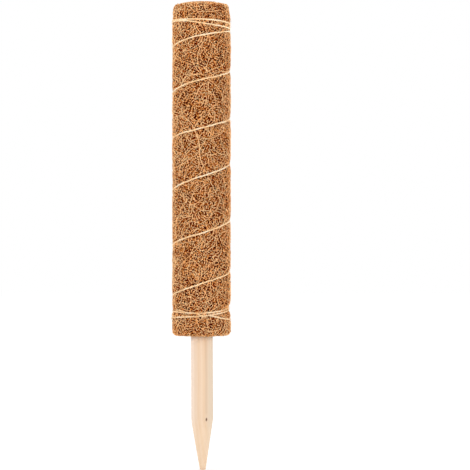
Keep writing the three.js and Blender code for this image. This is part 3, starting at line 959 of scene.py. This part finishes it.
# %% Coats of fibres
FACE = dict(points=5, length=3.0, curl=0.3, wiggle=0.3, stray=0.5, arch=0.5, width=(0.62, 0.74))
DEEP = dict(
    placed=even_places, points=7, curl=0.12, wiggle=0.35, stray=3.0, arch=0.3, width=(0.45, 0.75)
)
COATS = {
    "coir_fibres_face_b": dict(
        FACE, placed=even_places, count=5600, depth=(-0.4, 0.1), tone=0.95, spread=0.06,
    ),
    "coir_fibres_face_a": dict(
        FACE, placed=thin_places, count=5600, depth=(-0.5, 0.0), tone=0.85, spread=0.15,
    ),
    "coir_fibres_face_c": dict(
        placed=thin_places, count=3000, points=6, length=3.4, curl=0.25, wiggle=0.3, stray=3.0,
        depth=(-0.9, -0.4), arch=0.5, width=(0.4, 0.5), tone=0.6, spread=0.2,
    ),
    "coir_fibres_body_a": dict(
        placed=even_places, count=5000, points=7, length=7, curl=0.18, wiggle=0.3, stray=0.6,
        depth=(-1.1, -0.6), arch=0.4, width=(0.45, 0.6), tone=0.46, spread=0.15,
    ),
    # painted shade: the two deep coats are painted dark, as shade in the holes between the top fibres
    "coir_fibres_deep_a": dict(DEEP, count=5000, length=11, depth=(-1.6, -1.1), tone=0.03, spread=0.05),
    "coir_fibres_deep_b": dict(DEEP, count=4000, length=10, depth=(-1.5, -1.0), tone=0.1, spread=0.08),
    # painted shade: dark crumbs that stand for the shadowed gaps between fibres
    "coir_painted_shade_crumbs": dict(
        placed=even_places, count=900, points=5, length=1.5, curl=0.2, wiggle=0.3, stray=3.0,
        depth=(-0.4, 0.1), arch=0.2, width=(0.6, 0.85), tone=0.03, spread=0.03,
    ),
}
WALK_KEYS = ("points", "length", "curl", "wiggle", "stray", "depth", "arch")
FIRST_SEED = 100
ROUNDS = 3

for seed, (name, coat) in enumerate(COATS.items()):
    rng = np.random.default_rng(FIRST_SEED + seed)
    walk = {key: coat[key] for key in WALK_KEYS}
    rounds = ROUNDS if coat["placed"] is thin_places else 1
    share = coat["count"] // rounds
    paths = np.concatenate([walk_fibres(rng, coat["placed"](rng, share), **walk) for _ in range(rounds)])
    widths = rng.uniform(*coat["width"], len(paths))
    tones = np.clip(rng.normal(coat["tone"], coat["spread"], len(paths)), 0, 1)
    place_piece(name, hair_mesh(name, paths, widths, tones, three_sides), coir)
    print("share of cells with no fibre yet:", round(float((cover == 0).mean()), 3))

# %% Stray fibres
STRAYS = 600
STRAY_SEED = 200
STRAY_WALK = dict(points=13, length=22.0, curl=0.07, wiggle=0.12, stray=3.0, depth=(0.0, 0.25), arch=0.45)
STRAY_WIDTHS = (0.38, 0.54)
STRAY_TONES = (0.9, 1.0)
LONG_STRAY = [
    # across the front and up, from the middle of the coir's foot
    (-21.9, 186.3), (-17.6, 187.6), (-13.8, 185.6), (-9.2, 181.8), (-5.8, 175.7), (-2.1, 166.1),
    (-0.9, 160.1), (-1.3, 150.8), (2.1, 143.2),
]
LONG_POINTS = 31
LONG_ROUNDS = 3
LONG_LIFT = 0.8
LONG_WIDTH = 0.8
LONG_TONE = 1.0


def even_steps(points, count):
    """The same line with this many points, evenly spaced."""
    run = np.r_[0, np.cumsum(np.linalg.norm(np.diff(points, axis=0), axis=1))]
    places = np.linspace(0, run[-1], count)
    return np.stack([np.interp(places, run, points[:, k]) for k in range(points.shape[1])], axis=1)


def soften(points, rounds):
    """The same line with its corners rounded, its two ends kept."""
    points = points.copy()
    for _ in range(rounds):
        points[1:-1] = (points[:-2] + 2 * points[1:-1] + points[2:]) / 4
    return points


rng = np.random.default_rng(STRAY_SEED)
paths = walk_fibres(rng, even_places(rng, STRAYS), **STRAY_WALK)
widths = rng.uniform(*STRAY_WIDTHS, STRAYS)
tones = rng.uniform(*STRAY_TONES, STRAYS)
place_piece("coir_strays", hair_mesh("coir_strays", paths, widths, tones, three_sides), coir)

line = soften(even_steps(np.array(LONG_STRAY), LONG_POINTS), LONG_ROUNDS)
turns = np.arcsin(line[:, 0] / COIR_RADIUS) / (2 * math.pi)
path = on_coir(turns, line[:, 1], LONG_LIFT)
long_mesh = hair_mesh("coir_long_stray", path[None], [LONG_WIDTH], [LONG_TONE], three_sides)
place_piece("coir_long_stray", long_mesh, coir)

# %% Fringe at the foot
FRINGE = 110
FRINGE_SEED = 210
FRINGE_POINTS = 6
FRINGE_RADII = (9.9, 12.0)
FRINGE_ROOT = 1.5
FRINGE_DROP = 0.6
DROP_SPREAD = 0.4
FRINGE_TWIST = 0.03
FRINGE_SPLAY = 0.8
FRINGE_WIDTHS = (0.3, 0.5)
FRINGE_TONE = 0.6
FRINGE_TONE_SPREAD = 0.15
CLEAR_OF_STAKE = 0.45

rng = np.random.default_rng(FRINGE_SEED)
t = np.linspace(0, 1, FRINGE_POINTS)[None, :]
start_radius = rng.uniform(*FRINGE_RADII, FRINGE)[:, None]
turn = rng.random(FRINGE)[:, None] + rng.normal(0, FRINGE_TWIST, FRINGE)[:, None] * t
drop = rng.lognormal(math.log(FRINGE_DROP), DROP_SPREAD, FRINGE)[:, None]
radius = start_radius + rng.normal(0, FRINGE_SPLAY, FRINGE)[:, None] * t**2
radius = np.maximum(radius, STAKE_RADIUS + CLEAR_OF_STAKE)
paths = around(radius, turn, FRINGE_ROOT - (drop + FRINGE_ROOT) * t)
widths = rng.uniform(*FRINGE_WIDTHS, FRINGE)
tones = np.clip(rng.normal(FRINGE_TONE, FRINGE_TONE_SPREAD, FRINGE), 0, 1)
place_piece("coir_fringe", hair_mesh("coir_fringe", paths, widths, tones, three_sides), coir)

# %% [markdown]
# Jute twine
#
# The lashing is three thin plies of bleached jute, twisted together: cream, matt and a little hairy. The
# colour drifts slowly along the twine, short fibres make fine streaks in each ply, and the turns at the foot
# are a little more tan.

# %% Twine material
STREAK_SIZE = 0.9
DRIFT_SIZE = 9.0
DRIFT_SHARE = 0.5
TAN_ABOVE = 27.0
TAN_BELOW = 18.0
TAN_SHARE = 0.25

jute, tree = new_material("twisted_jute")
place = add_node(tree, "TexCoord").outputs["Object"]
streak = add_node(tree, "TexNoise", {"Vector": place, "Scale": 1 / (STREAK_SIZE * MM), "Detail": 3.0})
drift = add_node(tree, "TexNoise", {"Vector": place, "Scale": 1 / (DRIFT_SIZE * MM), "Detail": 1.0})
mixed = add_node(tree, "Mix", {0: DRIFT_SHARE, 2: streak.outputs["Fac"], 3: drift.outputs["Fac"]})
cream_stops = [(0.38, "#F4C68E"), (0.5, "#FFDEB0"), (0.62, "#FFEED2")]
cream = add_node(tree, "ValToRGB", {0: mixed.outputs[0]}, stops=cream_stops).outputs[0]
up = add_node(tree, "SeparateXYZ", {0: place}).outputs["Z"]
tan_share = add_node(
    tree, "MapRange",
    {"Value": up, "From Min": TAN_ABOVE * MM, "From Max": TAN_BELOW * MM, "To Max": TAN_SHARE},
).outputs[0]
colour = add_node(tree, "Mix", {0: tan_share, 6: cream, 7: linear("#D9A874")}, data_type="RGBA").outputs[2]
matt_surface(tree, colour, streak.outputs["Fac"], rough=(0.7, 0.95), bump=0.5, depth=0.12, shine=0.2)
print("jute streaks of", STREAK_SIZE, "mm, drift over", DRIFT_SIZE, "mm")

# %% [markdown]
# The lashing
#
# The twine's middle line follows its route, half sunk in the coir. Each ply winds round that line, and its
# section is swept along as a bevelled curve. Where the first turn leaves the foot knot it climbs over the
# strands that it crosses.

# %% Twine
PLIES = 3
PLY_RADIUS = 0.36
PLY_OFFSET = 0.36
TWIST_LENGTH = 5.5
TWINE_LIFT = 0.75
CROSSING_LIFT = 1.0
CROSSING_TURNS = (0.05, 0.13)
TWINE_POINTS = 3201
SLUB = 0.2
SLUB_WAVES = [(37, 1.0, 2), (83, 0.7, 4)]  # how fast, how strong, and the step from ply to ply
NO_STRAND_RUNS = (0.3, 0.2, 1.0)  # a direction that no strand starts in
PLAIN_TONE = 0.5
TWINE_CUTS = 64
MAP_COLUMNS = 4


def unit(arrows):
    """The same directions with a length of one."""
    return arrows / np.linalg.norm(arrows, axis=-1, keepdims=True)


def lay_plies(middle, ply_offset):
    """Paths of the plies twisted round a middle line, an array of ply, point and coordinate."""
    ahead = unit(np.gradient(middle, axis=0))
    side = np.zeros_like(ahead)
    carried = np.cross(ahead[0], NO_STRAND_RUNS)
    for k, way in enumerate(ahead):
        carried = unit(carried - way * carried.dot(way))
        side[k] = carried
    up = np.cross(side, ahead)
    run = np.r_[0, np.cumsum(np.linalg.norm(np.diff(middle, axis=0), axis=1))]
    paths = []
    for ply in range(PLIES):
        twist = 2 * math.pi * (run / TWIST_LENGTH + ply / PLIES)
        paths.append(middle + ply_offset * (np.cos(twist)[:, None] * side + np.sin(twist)[:, None] * up))
    return np.array(paths), run[-1]


turns = np.linspace(TWINE_START, TWINE_END, TWINE_POINTS)
lift = TWINE_LIFT + CROSSING_LIFT * (1 - ease(turns, *CROSSING_TURNS))
twine_line = on_coir(turns, route_height(turns), lift)
ply_paths, twine_length = lay_plies(twine_line, PLY_OFFSET)
ply_widths = []
for ply in range(PLIES):
    slub = sum(share * np.sin(turns * rate + step * ply) for rate, share, step in SLUB_WAVES)
    ply_widths.append(PLY_RADIUS * 2 * (1 + SLUB * slub))
ply_tones = [PLAIN_TONE] * PLIES
twine_mesh = hair_mesh("lashing", ply_paths, ply_widths, ply_tones, six_sides, TWINE_CUTS, MAP_COLUMNS)
place_piece("twine_strand", twine_mesh, jute, ["lashing_twine"])
print("twine length in mm:", round(twine_length))

# %% [markdown]
# The knots
#
# Both ends of the twine are tied the same way: three tight turns round a strand, and a cut tail. At the
# foot the turns hold the strand that passes the front. The tail climbs to the strand above, lies on it to
# the left and parts from it near its end. At the head the knot is at the back and its tail hangs down.

# %% Knots
KNOT_TURNS = 3
KNOT_RADIUS = 1.0
KNOT_LENGTH = 3.9
KNOT_PLY = 0.32
KNOT_CUTS = 8
POINTS_PER_TURN = 28
POINT_SPACING = 0.5
CORNER_ROUNDS = 2
LINE_ROUNDS = 4
FLAT = (1, 1, 0)


def tie_knot(name, middle, along, tail, node):
    """A knot of turns round a strand at this place, and its tail."""
    along = unit(along)
    out = middle * FLAT
    out = unit(out - along * out.dot(along))
    side = np.cross(along, out)
    t = np.linspace(0, 1, KNOT_TURNS * POINTS_PER_TURN + 1)[:, None]
    angle = 2 * math.pi * KNOT_TURNS * t
    spokes = np.cos(angle) * out + np.sin(angle) * side
    coil = middle + along * (0.5 - t) * KNOT_LENGTH + KNOT_RADIUS * spokes
    line = soften(np.vstack([coil, tail]), CORNER_ROUNDS)
    length = np.linalg.norm(np.diff(line, axis=0), axis=1).sum()
    line = soften(even_steps(line, round(length / POINT_SPACING) * 2), LINE_ROUNDS)
    paths, _ = lay_plies(line, KNOT_PLY)
    mesh = hair_mesh(name, paths, [KNOT_PLY * 2] * PLIES, ply_tones, six_sides, KNOT_CUTS, MAP_COLUMNS)
    place_piece(name, mesh, jute, [node])
    return line


print("knots of", KNOT_TURNS, "turns, each", KNOT_LENGTH, "mm long")

# %% Knot at the foot
FOOT_KNOT = 1.012
STRAND_STEPS = np.array([-0.01, 0.0, 0.01])
FOOT_TAIL = (-0.012, -0.15)
FOOT_TAIL_POINTS = 24
FOOT_TAIL_LOW = 17.6
CLIMB = 2.0
CLIMB_TURNS = (0.0, 0.03)
PARTING = 2.2
PARTING_TURNS = (0.07, 0.15)
ON_STRAND = 1.2
OFF_STRAND_TURNS = (0.08, 0.13)

strand_turns = FOOT_KNOT + STRAND_STEPS
strand = on_coir(strand_turns, route_height(strand_turns), TWINE_LIFT)
tail_turns = np.linspace(*FOOT_TAIL, FOOT_TAIL_POINTS)
tail_heights = FOOT_TAIL_LOW + CLIMB * ease(-tail_turns, *CLIMB_TURNS)
tail_heights = tail_heights + PARTING * ease(-tail_turns, *PARTING_TURNS)
tail_lift = TWINE_LIFT + ON_STRAND * (1 - ease(-tail_turns, *OFF_STRAND_TURNS))
foot_tail = on_coir(tail_turns, tail_heights, tail_lift)
foot_line = tie_knot("foot_knot_wraps", strand[1], strand[2] - strand[0], foot_tail, "foot_knot")

# %% Knot at the head
HEAD_KNOT = TWINE_END + 0.016
HEAD_KNOT_AHEAD = 2.4
LOOK_BACK = 9
HEAD_TAIL = (HEAD_KNOT - 0.022, HEAD_KNOT - 0.035)
HEAD_TAIL_POINTS = 14
HEAD_TAIL_DROP = (0.6, 6.5)
HEAD_TAIL_LIFT = (1.4, 0.9)

ahead = unit(twine_line[-1] - twine_line[-LOOK_BACK])
tail_turns = np.linspace(*HEAD_TAIL, HEAD_TAIL_POINTS)
tail_heights = route_height(TWINE_END) - np.linspace(*HEAD_TAIL_DROP, HEAD_TAIL_POINTS)
head_tail = on_coir(tail_turns, tail_heights, np.linspace(*HEAD_TAIL_LIFT, HEAD_TAIL_POINTS))
head_middle = twine_line[-1] + ahead * HEAD_KNOT_AHEAD
head_line = tie_knot("head_knot_wraps", head_middle, ahead, head_tail, "head_knot")

# %% [markdown]
# Fuzz on the twine
#
# Jute is a bast fibre, and its short ends work loose as the twine is pulled tight. A few hundred fine hairs
# stand off the strand at low angles, and the cut tails fray.

# %% Twine fuzz
FUZZ = 520
FRAYED = 16
FUZZ_POINTS = 5
FUZZ_LENGTH = 2.4
FUZZ_SPREAD = 0.3
FUZZ_SEED = 220
FUZZ_WIDTHS = (0.12, 0.2)
FUZZ_LEAN = (-1, 1)
FUZZ_RISE = (0.15, 0.6)
FRAYED_LEAN = (-0.8, 0.8)
FRAYED_RISE = (-0.1, 0.5)
LEAN_POWER = 1.5
RISE_POWER = 1.3
ROOT_OUT = 0.8
FROM_ENDS = 8
BESIDE = 4

rng = np.random.default_rng(FUZZ_SEED)
start = rng.integers(FROM_ENDS, len(twine_line) - FROM_ENDS, FUZZ)
root = twine_line[start]
way = unit(twine_line[start + BESIDE] - twine_line[start - BESIDE])
way *= rng.choice([-1.0, 1.0], FUZZ)[:, None]
out = unit(root * FLAT)
across = np.cross(way, out)
lean = rng.uniform(*FUZZ_LEAN, FUZZ)[:, None]
rise = rng.uniform(*FUZZ_RISE, FUZZ)[:, None]
for line in (foot_line, head_line):
    end_way = unit(line[-1] - line[-BESIDE])
    end_out = unit(line[-1] * FLAT)
    ends = [np.tile(p, (FRAYED, 1)) for p in (line[-2], end_way, end_out, np.cross(end_way, end_out))]
    ends += [rng.uniform(*span, FRAYED)[:, None] for span in (FRAYED_LEAN, FRAYED_RISE)]
    grown = [np.vstack(pair) for pair in zip((root, way, out, across, lean, rise), ends)]
    root, way, out, across, lean, rise = grown
reach = rng.lognormal(math.log(FUZZ_LENGTH), FUZZ_SPREAD, len(root))[:, None, None]
t = np.linspace(0, 1, FUZZ_POINTS)[None, :, None]
bent = way[:, None] * t + (across * lean)[:, None] * t**LEAN_POWER + (out * rise)[:, None] * t**RISE_POWER
paths = root[:, None] + PLY_RADIUS * (across * lean + out * ROOT_OUT)[:, None] + reach * bent
widths = rng.uniform(*FUZZ_WIDTHS, len(paths))
fuzz_mesh = hair_mesh("fuzz", paths, widths, np.full(len(paths), PLAIN_TONE), three_sides)
place_piece("twine_fuzz", fuzz_mesh, jute)

# %% [markdown]
# Remove the sweep sections
#
# The two outlines that were swept along the hairs are removed. The dressed pole has to stay in the box of
# the CAD model, apart from a little fuzz.

# %% Remove the sweep sections
for ring in (three_sides, six_sides):
    bpy.data.objects.remove(ring)
